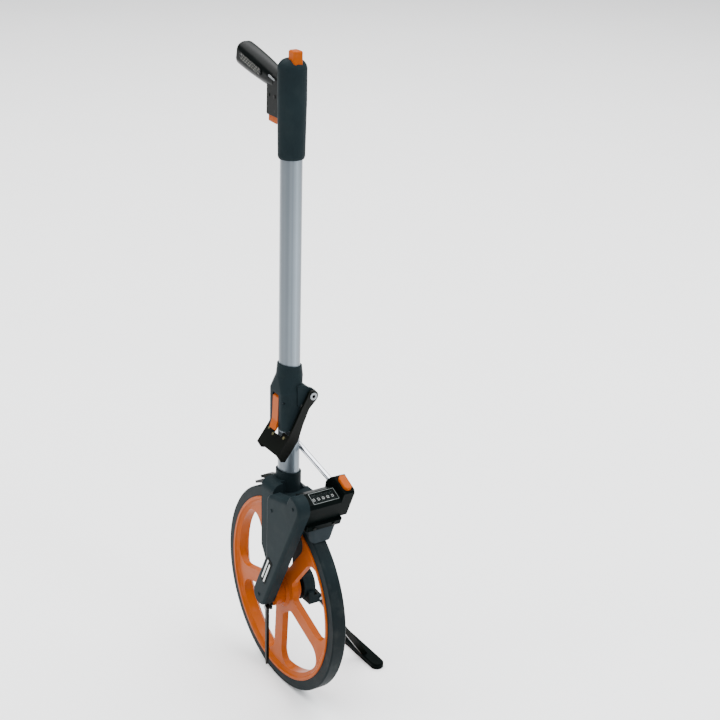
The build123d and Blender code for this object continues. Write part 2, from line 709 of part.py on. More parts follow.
with BuildPart() as tread_guard:
    guard_top = Plane(origin=counter_point(0, PLATE_N, 0), x_dir=across(0, LEAN).x_dir,
                      z_dir=(math.sin(math.radians(LEAN)), 0, math.cos(math.radians(LEAN))))
    with BuildSketch(guard_top):
        with Locations((6.0, 5.5)):
            RectangleRounded(44.0, 47.0, 8.0)
    with BuildSketch(guard_top.offset(-26.0)):
        with Locations((14.0, 0.5)):
            RectangleRounded(56.0, 31.0, 8.0)
    loft()
    with BuildSketch(across(CUT_THROUGH / 2)):
        Circle(GUARD_R)
    extrude(amount=CUT_THROUGH, mode=Mode.SUBTRACT)
finish(tread_guard, "tread_guard")

COUNTER_SECTION = [
    (COUNTER_REAR_T, COUNTER_BOTTOM_N),
    (COUNTER_REAR_T, 212.0),
    (-2.0, COUNTER_TOP_N),
    (20.0, COUNTER_TOP_N),
    (COUNTER_FRONT_T, 220.0),
    (COUNTER_FRONT_T, COUNTER_BOTTOM_N),
]
CAVITY_SECTION = [
    (COUNTER_REAR_T + COUNTER_WALL, COUNTER_BOTTOM_N),
    (COUNTER_REAR_T + COUNTER_WALL, 211.0),
    (-1.0, COUNTER_TOP_N - COUNTER_WALL),
    (19.5, COUNTER_TOP_N - COUNTER_WALL),
    (COUNTER_FRONT_T - COUNTER_WALL, 219.5),
    (COUNTER_FRONT_T - COUNTER_WALL, COUNTER_BOTTOM_N),
]
WINDOW_T = (WINDOW_T0 + WINDOW_T1) / 2
with BuildPart() as counter_case:
    with BuildSketch(across(CASE_FAR_END_Y, LEAN)):
        with BuildLine():
            Polyline(*COUNTER_SECTION, close=True)
        make_face()
    extrude(amount=CASE_FAR_END_Y - CASE_NEAR_END_Y)
    with BuildSketch(across(CASE_FAR_END_Y - COUNTER_WALL, LEAN)):
        with BuildLine():
            Polyline(*CAVITY_SECTION, close=True)
        make_face()
    extrude(amount=CASE_FAR_END_Y - CASE_NEAR_END_Y - 2 * COUNTER_WALL, mode=Mode.SUBTRACT)
    with BuildSketch(across(COUNTER_MID_Y + WINDOW_LEN / 2, LEAN)):
        with Locations((WINDOW_T, COUNTER_TOP_N)):
            Rectangle(WINDOW_T1 - WINDOW_T0, 10)
    extrude(amount=WINDOW_LEN, mode=Mode.SUBTRACT)
    with BuildSketch(across(CASE_FAR_END_Y + 1, LEAN)):
        with Locations((DRUM_T, DRUM_N)):
            Circle(SHAFT_R + RUNNING_FIT)
    extrude(amount=60, mode=Mode.SUBTRACT)
finish(counter_case, "counter_case")

with BuildPart() as counter_window:
    with BuildSketch(across(COUNTER_MID_Y + WINDOW_LEN / 2, LEAN)):
        with Locations((WINDOW_T, COUNTER_TOP_N - GLASS / 2 - 0.3)):
            Rectangle(WINDOW_T1 - WINDOW_T0, GLASS)
    extrude(amount=WINDOW_LEN)
finish(counter_window, "counter_window")

with BuildPart() as counter_shaft:
    with BuildSketch(across(CASE_FAR_END_Y - 0.3, LEAN)):
        with Locations((DRUM_T, DRUM_N)):
            Circle(SHAFT_R)
    extrude(amount=CASE_FAR_END_Y - 0.3 - (PULLEY_NEAR_Y - 2))
finish(counter_shaft, "counter_shaft")

with BuildPart() as counter_pulley:
    with BuildSketch(across(PULLEY_NEAR_Y + PULLEY_W, LEAN)):
        with Locations((DRUM_T, DRUM_N)):
            Circle(PULLEY_R + 1.6)
    extrude(amount=PULLEY_W)
    with BuildSketch(across(PULLEY_NEAR_Y + PULLEY_W - 1.0, LEAN)):
        with Locations((DRUM_T, DRUM_N)):
            Circle(PULLEY_R + 2.0)
            Circle(PULLEY_R - 0.4, mode=Mode.SUBTRACT)
    extrude(amount=PULLEY_W - 2.0, mode=Mode.SUBTRACT)
    with BuildSketch(across(PULLEY_NEAR_Y + PULLEY_W, LEAN)):
        with Locations((DRUM_T, DRUM_N)):
            Circle(SHAFT_R)
    extrude(amount=PULLEY_W, mode=Mode.SUBTRACT)
finish(counter_pulley, "counter_pulley")

# units drum is fixed on the shaft at the far end; the others run free on it
DRUM_NAMES = ["drum_units", "drum_tens", "drum_hundreds", "drum_thousands", "drum_ten_thousands"]
for index, drum_name in enumerate(DRUM_NAMES):
    drum_y = COUNTER_MID_Y + DRUM_PITCH * ((DRUMS - 1) / 2 - index)
    with BuildPart() as drum:
        with BuildSketch(across(drum_y + DRUM_W / 2, LEAN)):
            with Locations((DRUM_T, DRUM_N)):
                Circle(DRUM_R)
                Circle(SHAFT_R if index == 0 else SHAFT_R + RUNNING_FIT, mode=Mode.SUBTRACT)
        extrude(amount=DRUM_W)
    finish(drum, drum_name)

BLOCK_SECTION = [
    (COUNTER_FRONT_T - 1.0, COUNTER_BOTTOM_N),
    (COUNTER_FRONT_T - 1.0, 236.0),
    (21.0, 238.0),
    (-10.0, 238.0),
    (-17.0, 229.0),
    (-23.0, 214.0),
    (-17.0, COUNTER_BOTTOM_N),
]
BLOCK_MID_Y = (BLOCK_NEAR_Y + BLOCK_FAR_Y) / 2
BUTTON_FACE = Plane(
    origin=counter_point(RESET_T, 238.0, BLOCK_MID_Y),
    x_dir=(math.cos(math.radians(LEAN)), 0, -math.sin(math.radians(LEAN))),
    z_dir=(math.sin(math.radians(LEAN)), 0, math.cos(math.radians(LEAN))),
)
with BuildPart() as reset_block:
    with BuildSketch(across(BLOCK_FAR_Y, LEAN)):
        with BuildLine():
            Polyline(*BLOCK_SECTION, close=True)
        make_face()
    extrude(amount=BLOCK_FAR_Y - CASE_FAR_END_Y)
    fillet(reset_block.faces().sort_by(Axis.Y)[-1].edges().group_by(Axis.X)[-1], 1.5)
    # well for the button and its spring
    with BuildSketch(BUTTON_FACE):
        SlotOverall(RESET_LEN + 0.8, RESET_WIDE + 0.8)
    extrude(amount=-12.0, mode=Mode.SUBTRACT)
    with BuildSketch(BUTTON_FACE.offset(-3.0)):
        SlotOverall(RESET_LEN + 2.2, RESET_WIDE + 2.2)
    extrude(amount=-9.0, mode=Mode.SUBTRACT)
    # seat for the guide tube
    with BuildSketch(GUIDE_PLANE):
        Circle(GUIDE_R)
    extrude(amount=10.0, mode=Mode.SUBTRACT)
finish(reset_block, "reset_block")

with BuildPart() as reset_button:
    with BuildSketch(BUTTON_FACE.offset(-7.0)):
        SlotOverall(RESET_LEN + 1.4, RESET_WIDE + 1.4)
    extrude(amount=3.2)
    with BuildSketch(BUTTON_FACE.offset(-4.0)):
        SlotOverall(RESET_LEN, RESET_WIDE)
    extrude(amount=9.0)
    button_up = Axis((0, 0, 0), BUTTON_FACE.z_dir)
    fillet(reset_button.faces().sort_by(button_up)[-1].edges(), 1.5)
finish(reset_button, "reset_button")

with BuildPart() as guide_tube:
    with BuildSketch(GUIDE_PLANE):
        Circle(GUIDE_R)
        Circle(GUIDE_R - 1.0, mode=Mode.SUBTRACT)
    extrude(amount=-GUIDE_LEN)
    with BuildSketch(GUIDE_PLANE):
        Circle(GUIDE_R)
        Circle(GUIDE_R - 1.0, mode=Mode.SUBTRACT)
    extrude(amount=6.0)
    # the upper end is cut to sit on the lower tube
    with BuildSketch(Plane.XY.offset(LOWER_TUBE_BOTTOM_Z)):
        with Locations((0, TUBE_Y)):
            Circle(LOWER_TUBE_R)
    extrude(amount=100, mode=Mode.SUBTRACT)
finish(guide_tube, "guide_tube")

with BuildPart() as reset_cable:
    with BuildSketch(GUIDE_PLANE):
        Circle(1.2)
    extrude(amount=-(GUIDE_LEN - 14))
    with BuildSketch(GUIDE_PLANE):
        Circle(1.2)
    extrude(amount=6.0)
finish(reset_cable, "reset_cable")

# ---------------------------------------------------------------------------
# Lower tube and folding joint
# ---------------------------------------------------------------------------
with BuildPart() as lower_tube:
    with BuildSketch(Plane.XY.offset(LOWER_TUBE_BOTTOM_Z)):
        with Locations((0, TUBE_Y)):
            Circle(LOWER_TUBE_R)
            Circle(LOWER_TUBE_R - TUBE_WALL, mode=Mode.SUBTRACT)
    extrude(amount=LOWER_TUBE_TOP_Z - LOWER_TUBE_BOTTOM_Z)
finish(lower_tube, "lower_tube")

with BuildPart() as fold_knuckle:
    with BuildSketch(profile_x(-KNUCKLE_HALF_X)):
        with Locations((PIN_Y, PIN_Z)):
            Circle(7.3)
        with BuildLine():
            Polyline(
                (PIN_Y + 2.5, PIN_Z - 6.5),
                (TUBE_Y + 15, PIN_Z - 22),
                (TUBE_Y + 6, PIN_Z - 22),
                (TUBE_Y + 6, PIN_Z - 2),
                (PIN_Y, PIN_Z),
                close=True,
            )
        make_face()
    extrude(amount=2 * KNUCKLE_HALF_X)
    with BuildSketch(Plane.XY.offset(PIN_Z - 40)):
        with Locations((0, TUBE_Y)):
            Circle(LOWER_TUBE_R)
    extrude(amount=40 - 2, mode=Mode.SUBTRACT)
    with BuildSketch(profile_x(-50)):
        with Locations((PIN_Y, PIN_Z)):
            Circle(PIN_R)
    extrude(amount=100, mode=Mode.SUBTRACT)
finish(fold_knuckle, "fold_knuckle")

with BuildPart() as fold_pin:
    with BuildSketch(profile_x(-PIN_HALF)):
        with Locations((PIN_Y, PIN_Z)):
            Circle(PIN_R)
            Circle(PIN_R - 1.5, mode=Mode.SUBTRACT)
    extrude(amount=2 * PIN_HALF)
    for head_x in (-PIN_HALF - 1.5, PIN_HALF):
        with BuildSketch(profile_x(head_x)):
            with Locations((PIN_Y, PIN_Z)):
                Circle(5.6)
                Circle(PIN_R - 1.5, mode=Mode.SUBTRACT)
        extrude(amount=1.5)
finish(fold_pin, "fold_pin")

with BuildPart() as fold_sleeve:
    # channel that closes over the lower tube
    with BuildSketch(Plane.XY.offset(SLEEVE_BOTTOM_Z)):
        with Locations((0, (SLEEVE_OUT_Y + SLEEVE_OPEN_Y) / 2)):
            RectangleRounded(2 * SLEEVE_HALF_X, SLEEVE_OPEN_Y - SLEEVE_OUT_Y, SLEEVE_CORNER_R)
    extrude(amount=SLEEVE_FLOOR_Z + 4 - SLEEVE_BOTTOM_Z)
    # shoulder that blends into the round collar
    with BuildSketch(Plane.XY.offset(SLEEVE_FLOOR_Z + 4)):
        with Locations((0, (SLEEVE_OUT_Y + SLEEVE_OPEN_Y) / 2)):
            RectangleRounded(2 * SLEEVE_HALF_X, SLEEVE_OPEN_Y - SLEEVE_OUT_Y, SLEEVE_CORNER_R)
    with BuildSketch(Plane.XY.offset(SLEEVE_COLLAR_Z)):
        with Locations((0, TUBE_Y)):
            RectangleRounded(2 * SLEEVE_COLLAR_R, 2 * SLEEVE_COLLAR_R, SLEEVE_COLLAR_R - 0.1)
    loft()
    with BuildSketch(Plane.XY.offset(SLEEVE_COLLAR_Z)):
        with Locations((0, TUBE_Y)):
            Circle(SLEEVE_COLLAR_R - 0.1)
    with BuildSketch(Plane.XY.offset(SLEEVE_TOP_Z + 3)):
        with Locations((0, TUBE_Y)):
            Circle(SLEEVE_TOP_R)
    loft()
    # ears for the pin
    for ear_x in (-EAR_HALF_X, EAR_HALF_X - EAR_T):
        with BuildSketch(profile_x(ear_x)):
            with Locations((PIN_Y, PIN_Z)):
                Circle(EAR_R)
            with BuildLine():
                Polyline(
                    (TUBE_Y, EAR_TOP_Z + 1),
                    (TUBE_Y + 12.5, EAR_TOP_Z),
                    (PIN_Y + 7.2, PIN_Z + 5.4),
                    (PIN_Y, PIN_Z - EAR_R),
                    (TUBE_Y, PIN_Z - 14),
                    close=True,
                )
            make_face()
        extrude(amount=EAR_T)
    # hollow for the lower tube and for its knuckle
    with BuildSketch(Plane.XY.offset(SLEEVE_BOTTOM_Z - 1)):
        with Locations((0, TUBE_Y)):
            Circle(LOWER_TUBE_R + 0.5)
        with Locations((0, TUBE_Y + 30)):
            Rectangle(2 * LOWER_TUBE_R + 1.0, 60)
    extrude(amount=SLEEVE_FLOOR_Z - SLEEVE_BOTTOM_Z + 1, mode=Mode.SUBTRACT)
    with BuildSketch(profile_x(-KNUCKLE_HALF_X - 0.4)):
        with Locations((PIN_Y, PIN_Z)):
            Circle(7.8)
        with Locations((PIN_Y + 10, PIN_Z)):
            Rectangle(20, 15.6)
    extrude(amount=2 * KNUCKLE_HALF_X + 0.8, mode=Mode.SUBTRACT)
    # seat for the upper tube
    with BuildSketch(Plane.XY.offset(UPPER_TUBE_BOTTOM_Z)):
        with Locations((0, TUBE_Y)):
            Circle(UPPER_TUBE_R)
    extrude(amount=60, mode=Mode.SUBTRACT)
    # slanted rim
    with BuildSketch(profile_x(-40)):
        with BuildLine():
            Polyline(
                (TUBE_Y - RIM_REACH, SLEEVE_TOP_Z + 6),
                (TUBE_Y + RIM_REACH, SLEEVE_TOP_Z - 6),
                (TUBE_Y + RIM_REACH, SLEEVE_TOP_Z + 30),
                (TUBE_Y - RIM_REACH, SLEEVE_TOP_Z + 30),
                close=True,
            )
        make_face()
    extrude(amount=80, mode=Mode.SUBTRACT)
    # opening for the latch and bores for the two pins
    with BuildSketch(profile_y(TUBE_Y - 14)):
        with Locations((0, (SLEEVE_BOTTOM_Z + LATCH_TOP_Z) / 2)):
            Rectangle(LATCH_W + 1.0, LATCH_TOP_Z - SLEEVE_BOTTOM_Z + 2)
    extrude(amount=20, mode=Mode.SUBTRACT)
    with BuildSketch(profile_x(-CUT_THROUGH / 2)):
        with Locations((PIN_Y, PIN_Z)):
            Circle(PIN_R + RUNNING_FIT)
        with Locations((LATCH_PIN_Y, LATCH_PIN_Z)):
            Circle(LATCH_PIN_R)
    extrude(amount=CUT_THROUGH, mode=Mode.SUBTRACT)
finish(fold_sleeve, "fold_sleeve")

with BuildPart() as latch_pin:
    with BuildSketch(profile_x(-SLEEVE_HALF_X + 5)):
        with Locations((LATCH_PIN_Y, LATCH_PIN_Z)):
            Circle(LATCH_PIN_R)
    extrude(amount=2 * SLEEVE_HALF_X - 10)
finish(latch_pin, "latch_pin")

with BuildPart() as latch:
    with BuildSketch(profile_x(-LATCH_W / 2)):
        with BuildLine():
            Polyline(
                (-13.4, 481),
                (-18.2, 478),
                (-19.6, 442),
                (-24.0, 429),
                (-21.0, 428),
                (-16.0, 440),
                (-13.4, 446),
                close=True,
            )
        make_face()
        with Locations((LATCH_PIN_Y, LATCH_PIN_Z)):
            Circle(LATCH_PIN_R + RUNNING_FIT, mode=Mode.SUBTRACT)
    extrude(amount=LATCH_W)
finish(latch, "latch")

ARM_OUTLINE = [
    (18.5, 483.5),
    (8.0, 465.0),
    (-12.4, 424.7),
    (-32.0, 398.0),
    (-26.6, 388.4),
    (-19.7, 386.7),
    (1.8, 415.0),
    (9.8, 438.8),
    (20.0, 462.5),
    (32.0, 474.5),
]
WEB_PLANE = Plane(origin=(0, -12.4, 424.7), x_dir=(1, 0, 0), z_dir=(0, -0.804, 0.594))
with BuildPart() as stirrup:
    for arm_x in (-STIRRUP_OUT_X, STIRRUP_IN_X):
        with BuildSketch(profile_x(arm_x)):
            with Locations((PIN_Y, PIN_Z)):
                Circle(8.4)
            with BuildLine():
                Polyline(*ARM_OUTLINE, close=True)
            make_face()
        extrude(amount=STIRRUP_OUT_X - STIRRUP_IN_X)
    with BuildSketch(WEB_PLANE):
        with Locations((0, -16.5)):
            Rectangle(2 * STIRRUP_OUT_X, 33)
        with Locations((0, -3)):
            Rectangle(25, 8, mode=Mode.SUBTRACT)
    extrude(amount=-3.0)
    with BuildSketch(profile_x(-CUT_THROUGH / 2)):
        with Locations((PIN_Y, PIN_Z)):
            Circle(PIN_R + RUNNING_FIT)
    extrude(amount=CUT_THROUGH, mode=Mode.SUBTRACT)
finish(stirrup, "stirrup")

with BuildPart() as stirrup_rivets:
    with BuildSketch(WEB_PLANE):
        with Locations((-21, -6), (-6, -10), (21, -6)):
            Circle(2.4)
    extrude(amount=1.2)
finish(stirrup_rivets, "stirrup_rivets")

# ---------------------------------------------------------------------------
# Upper tube and handle
# ---------------------------------------------------------------------------
with BuildPart() as upper_tube:
    with BuildSketch(Plane.XY.offset(UPPER_TUBE_BOTTOM_Z)):
        with Locations((0, TUBE_Y)):
            Circle(UPPER_TUBE_R)
            Circle(UPPER_TUBE_R - TUBE_WALL, mode=Mode.SUBTRACT)
    extrude(amount=UPPER_TUBE_TOP_Z - UPPER_TUBE_BOTTOM_Z)
finish(upper_tube, "upper_tube")

with BuildPart() as tube_plug:
    with BuildSketch(Plane.XY.offset(UPPER_TUBE_TOP_Z - 6)):
        with Locations((0, TUBE_Y)):
            Circle(UPPER_TUBE_R - TUBE_WALL)
    extrude(amount=6)
finish(tube_plug, "tube_plug")

with BuildPart() as handle_housing:
    with BuildSketch(Plane.XY.offset(HOUSING_BOTTOM_Z)):
        with Locations((0.3, TUBE_Y)):
            Circle(HOUSING_BOTTOM_R - 1.2)
    with BuildSketch(Plane.XY.offset(HOUSING_BOTTOM_Z + 3)):
        with Locations((0.3, TUBE_Y)):
            Circle(HOUSING_BOTTOM_R)
    with BuildSketch(Plane.XY.offset(HOUSING_WIDEST_Z)):
        with Locations((HOUSING_X, TUBE_Y)):
            Circle(HOUSING_R)
    loft(ruled=True)
    with BuildSketch(Plane.XY.offset(HOUSING_WIDEST_Z)):
        with Locations((HOUSING_X, TUBE_Y)):
            Circle(HOUSING_R)
    extrude(amount=HOUSING_TOP_Z - HOUSING_WIDEST_Z)
    fillet(handle_housing.faces().sort_by(Axis.Z)[-1].edges(), HOUSING_DOME_R)
    # seat for the tube
    with BuildSketch(Plane.XY.offset(HOUSING_BOTTOM_Z - 1)):
        with Locations((0, TUBE_Y)):
            Circle(UPPER_TUBE_R)
    extrude(amount=UPPER_TUBE_TOP_Z - HOUSING_BOTTOM_Z + 1, mode=Mode.SUBTRACT)
    # well for the top button
    with BuildSketch(Plane.XY.offset(UPPER_TUBE_TOP_Z)):
        with Locations((BUTTON_X, TUBE_Y)):
            RectangleRounded(BUTTON_LEN + 0.8, BUTTON_WIDTH + 0.8, 4.0)
    extrude(amount=40, mode=Mode.SUBTRACT)
    with BuildSketch(Plane.XY.offset(UPPER_TUBE_TOP_Z)):
        with Locations((BUTTON_X - 2, TUBE_Y)):
            RectangleRounded(BUTTON_LEN + 2.6, BUTTON_WIDTH + 3.0, 4.0)
    extrude(amount=11, mode=Mode.SUBTRACT)
finish(handle_housing, "handle_housing")

with BuildPart() as top_button:
    with BuildSketch(Plane.XY.offset(UPPER_TUBE_TOP_Z + 8)):
        with Locations((BUTTON_X - 2, TUBE_Y)):
            RectangleRounded(BUTTON_LEN + 1.6, BUTTON_WIDTH + 2.0, 3.5)
    extrude(amount=2.6)
    with BuildSketch(Plane.XY.offset(UPPER_TUBE_TOP_Z + 10)):
        with Locations((BUTTON_X, TUBE_Y)):
            RectangleRounded(BUTTON_LEN, BUTTON_WIDTH, 3.5)
    extrude(amount=BUTTON_TOP_Z - UPPER_TUBE_TOP_Z - 10)
    fillet(top_button.faces().sort_by(Axis.Z)[-1].edges(), BUTTON_EDGE_R)
finish(top_button, "top_button")

button_spring = helix_spring((BUTTON_X - 4, TUBE_Y, UPPER_TUBE_TOP_Z + 0.9), (0, 0, 1), 6.2, 3.6, 0.5, 4)
finish(button_spring, "button_spring")

CORE_PLANE = Plane(
    origin=(-52, TUBE_Y, 928.5),
    x_dir=(0, 1, 0),
    z_dir=(-math.cos(math.radians(12)), 0, math.sin(math.radians(12))),
)
with BuildPart() as grip:
    for along, wide, tall, shift in GRIP_SECTIONS:
        with BuildSketch(CORE_PLANE.offset(along)):
            with Locations((0, shift)):
                RectangleRounded(wide, tall, 12.0)
    loft()
    fillet(grip.faces().sort_by(Axis.X)[0].edges(), GRIP_END_R)
    # lever housing under the front of the grip
    with BuildSketch(profile_y(TUBE_Y + STEM_HALF_W)):
        with BuildLine():
            Polyline(
                (-10, 940),
                (-47, 930),
                (-48, 880),
                (-46, 878),
                (-18, 878),
                (-10, 880),
                close=True,
            )
        make_face()
    extrude(amount=2 * STEM_HALF_W)
    fillet(grip.edges().filter_by(Axis.Z).group_by(Axis.X)[0], 2.0)
    # hollow for the steel core
    with BuildSketch(CORE_PLANE):
        Rectangle(CORE_SIZE, CORE_SIZE)
    extrude(amount=CORE_LEN, mode=Mode.SUBTRACT)
    # room for the handle housing
    with BuildSketch(Plane.XY.offset(HOUSING_BOTTOM_Z)):
        with Locations((HOUSING_X, TUBE_Y)):
            Circle(HOUSING_R + 0.05)
    extrude(amount=200, mode=Mode.SUBTRACT)
    # slot for the trigger
    with BuildSketch(profile_y(TUBE_Y + TRIGGER_W / 2 + FREE_GAP)):
        with BuildLine():
            Polyline(
                (-19.5, 870),
                (-17.5, 892),
                (-24, 896),
                (-45.0, 896),
                (-45.0, 884),
                (-60, 884),
                (-60, 870),
                close=True,
            )
        make_face()
    extrude(amount=TRIGGER_W + 2 * FREE_GAP, mode=Mode.SUBTRACT)
    with BuildSketch(profile_y(TUBE_Y + 40)):
        with Locations((TRIGGER_PIN_X, TRIGGER_PIN_Z)):
            Circle(TRIGGER_PIN_R)
    extrude(amount=80, mode=Mode.SUBTRACT)
finish(grip, "grip")

with BuildPart() as grip_core:
    with BuildSketch(CORE_PLANE):
        Rectangle(CORE_SIZE, CORE_SIZE)
    extrude(amount=CORE_LEN)
finish(grip_core, "grip_core")

GRIP_SIDE = Plane(
    origin=(-90, TUBE_Y, 938),
    x_dir=(-math.cos(math.radians(13)), 0, math.sin(math.radians(13))),
    z_dir=(0, -1, 0),
)
with BuildPart() as grip_pads:
    for side in (-1, 1):
        with BuildSketch(GRIP_SIDE.offset(PAD_OUT * side - (PAD_T if side < 0 else 0))):
            SlotOverall(PAD_LEN, PAD_W)
        extrude(amount=PAD_T)
finish(grip_pads, "grip_pads")

with BuildPart() as handle_trim:
    with BuildSketch(Plane(origin=(-31, TUBE_Y - 13.5, 930), x_dir=(-0.977, 0, 0.213), z_dir=(0, -1, 0))):
        SlotOverall(18, 3)
    extrude(amount=0.6)
finish(handle_trim, "handle_trim")

with BuildPart() as handle_screws:
    for screw_x, screw_z in ((-26, 905), (-42, 905)):
        with BuildSketch(profile_y(TUBE_Y - STEM_HALF_W)):
            with Locations((screw_x, screw_z)):
                Circle(2.4)
        extrude(amount=0.8)
finish(handle_screws, "handle_screws")

with BuildPart() as trigger_pin:
    with BuildSketch(profile_y(TUBE_Y + STEM_HALF_W)):
        with Locations((TRIGGER_PIN_X, TRIGGER_PIN_Z)):
            Circle(TRIGGER_PIN_R)
    extrude(amount=2 * STEM_HALF_W)
finish(trigger_pin, "trigger_pin")

with BuildPart() as trigger:
    with BuildSketch(profile_y(TUBE_Y + TRIGGER_W / 2)):
        with BuildLine():
            Polyline(
                (-47, 868.5),
                (-26, 867.5),
                (-22.5, 870),
                (-21, 884),
                (-23.5, 889),
                (-28, 889),
                (-44, 879),
                (-47, 877),
                close=True,
            )
        make_face()
        with Locations((TRIGGER_PIN_X, TRIGGER_PIN_Z)):
            Circle(TRIGGER_PIN_R + RUNNING_FIT, mode=Mode.SUBTRACT)
    extrude(amount=TRIGGER_W)
finish(trigger, "trigger")

# ---------------------------------------------------------------------------
# Brake behind the crown
# ---------------------------------------------------------------------------
with BuildPart() as brake_pin:
    with BuildSketch(profile_y(TUBE_Y + BRAKE_ARM_W / 2 + FREE_GAP + BRAKE_EAR_T + 1)):
        with Locations((BRAKE_PIN_X, BRAKE_PIN_Z)):
            Circle(BRAKE_PIN_R)
    extrude(amount=BRAKE_ARM_W + 2 * (FREE_GAP + BRAKE_EAR_T + 1))
finish(brake_pin, "brake_pin")


def arc_point(radius, angle):
    """Point at a radius from the axle and an angle measured rearwards from the top."""
    a = math.radians(angle)
    return (-radius * math.sin(a), AXLE_Z + radius * math.cos(a))


with BuildPart() as brake_arm:
    with BuildSketch(profile_y(TUBE_Y + BRAKE_ARM_W / 2)):
        with Locations((BRAKE_PIN_X, BRAKE_PIN_Z)):
            Circle(5.4)
        with BuildLine():
            Polyline(
                (BRAKE_PIN_X, BRAKE_PIN_Z + 5.2),
                arc_point(176, 19),
                arc_point(173, 26),
                arc_point(169, 26),
                arc_point(169, 15),
                (BRAKE_PIN_X, BRAKE_PIN_Z - 5.2),
                close=True,
            )
        make_face()
        with Locations((BRAKE_PIN_X, BRAKE_PIN_Z)):
            Circle(BRAKE_PIN_R + RUNNING_FIT, mode=Mode.SUBTRACT)
    extrude(amount=BRAKE_ARM_W)
    with BuildSketch(across(CUT_THROUGH / 2)):
        Circle(SHOE_R + 4.0)
    extrude(amount=CUT_THROUGH, mode=Mode.SUBTRACT)
finish(brake_arm, "brake_arm")

with BuildPart() as brake_shoe:
    with BuildSketch(profile_y(SHOE_HALF_W)):
        with BuildLine():
            Polyline(
                arc_point(SHOE_R - 4, 14),
                arc_point(SHOE_R + 8, 14),
                arc_point(SHOE_R + 8, 28),
                arc_point(SHOE_R - 4, 28),
                close=True,
            )
        make_face()
    extrude(amount=2 * SHOE_HALF_W)
    with BuildSketch(across(CUT_THROUGH / 2)):
        Circle(SHOE_R)
    extrude(amount=CUT_THROUGH, mode=Mode.SUBTRACT)
    with BuildSketch(across(CUT_THROUGH / 2)):
        Circle(SHOE_R + 30)
        Circle(SHOE_R + 4.0, mode=Mode.SUBTRACT)
    extrude(amount=CUT_THROUGH, mode=Mode.SUBTRACT)
finish(brake_shoe, "brake_shoe")

# ---------------------------------------------------------------------------
# Stand
# ---------------------------------------------------------------------------
with BuildPart() as stand_pin:
    with BuildSketch(profile_x(LEG_X - LEG_W / 2 - LUG_T - 2)):
        with Locations((STAND_PIN_Y, STAND_PIN_Z)):
            Circle(STAND_PIN_R)
    extrude(amount=LEG_W + 2 * LUG_T + 4)
finish(stand_pin, "stand_pin")

STAND_DY = STAND_FOOT_Y - STAND_PIN_Y
STAND_DZ = STAND_PIN_Z - FOOT_H / 2
STAND_LEN = math.hypot(STAND_DY, STAND_DZ)
OFF_Y = LEG_T / 2 * STAND_DZ / STAND_LEN
OFF_Z = LEG_T / 2 * STAND_DY / STAND_LEN
with BuildPart() as stand_leg:
    with BuildSketch(profile_x(LEG_X - LEG_W / 2)):
        with Locations((STAND_PIN_Y, STAND_PIN_Z)):
            Circle(5.4)
        with BuildLine():
            Polyline(
                (STAND_PIN_Y + OFF_Y, STAND_PIN_Z + OFF_Z),
                (STAND_FOOT_Y + OFF_Y, FOOT_H / 2 + OFF_Z),
                (STAND_FOOT_Y - OFF_Y, FOOT_H / 2 - OFF_Z),
                (STAND_PIN_Y - OFF_Y, STAND_PIN_Z - OFF_Z),
                close=True,
            )
        make_face()
        with Locations((STAND_PIN_Y, STAND_PIN_Z)):
            Circle(STAND_PIN_R + RUNNING_FIT, mode=Mode.SUBTRACT)
        with Locations((STAND_FOOT_Y, FOOT_H - 20)):
            Rectangle(60, 40, mode=Mode.SUBTRACT)
    extrude(amount=LEG_W)
finish(stand_leg, "stand_leg")

with BuildPart() as stand_foot:
    with BuildSketch(Plane.XY):
        with Locations(((FOOT_REAR_X + FOOT_FRONT_X) / 2, STAND_FOOT_Y + 3)):
            SlotOverall(FOOT_FRONT_X - FOOT_REAR_X, FOOT_W)
    extrude(amount=FOOT_H)
    fillet(stand_foot.faces().sort_by(Axis.Z)[-1].edges(), 2.5)
finish(stand_foot, "stand_foot")
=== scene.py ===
import math
import bpy
import bmesh
from mathutils import Matrix, Vector


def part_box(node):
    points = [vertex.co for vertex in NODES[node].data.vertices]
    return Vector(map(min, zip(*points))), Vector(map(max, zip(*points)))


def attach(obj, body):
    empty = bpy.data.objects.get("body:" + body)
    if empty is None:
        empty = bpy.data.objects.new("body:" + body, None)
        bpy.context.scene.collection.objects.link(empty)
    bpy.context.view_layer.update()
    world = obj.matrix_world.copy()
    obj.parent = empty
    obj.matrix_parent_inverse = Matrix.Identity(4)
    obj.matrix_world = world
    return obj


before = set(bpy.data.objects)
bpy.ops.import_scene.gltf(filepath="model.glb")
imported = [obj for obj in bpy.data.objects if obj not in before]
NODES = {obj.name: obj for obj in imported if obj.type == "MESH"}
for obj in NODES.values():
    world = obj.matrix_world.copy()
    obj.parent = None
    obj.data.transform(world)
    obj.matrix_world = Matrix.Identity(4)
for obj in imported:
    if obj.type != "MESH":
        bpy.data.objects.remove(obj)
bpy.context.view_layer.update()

# The object's lengths are millimetres, and become metres through MM. The stage and the camera are in metres.
MM = 0.001
CIRCUMFERENCE = 1000.0
AXLE_Z = CIRCUMFERENCE / (2.0 * math.pi)
COUNTER_LEAN = math.radians(25.0)
GRIP_LEAN = math.radians(13.0)
BEVEL_STEPS = 2
BEVEL_FROM = math.radians(32.0)
SHARP_CAD = math.radians(32.0)
SHARP_OWN = math.radians(35.0)
WELD = 1e-6


# ------------------------------------------------------------ shader helpers
def noise(tree, where, scale, detail):
    """Noise over a coordinate output."""
    node = tree.nodes.new("ShaderNodeTexNoise")
    node.inputs["Scale"].default_value = scale
    node.inputs["Detail"].default_value = detail
    tree.links.new(where, node.inputs["Vector"])
    return node.outputs["Fac"]


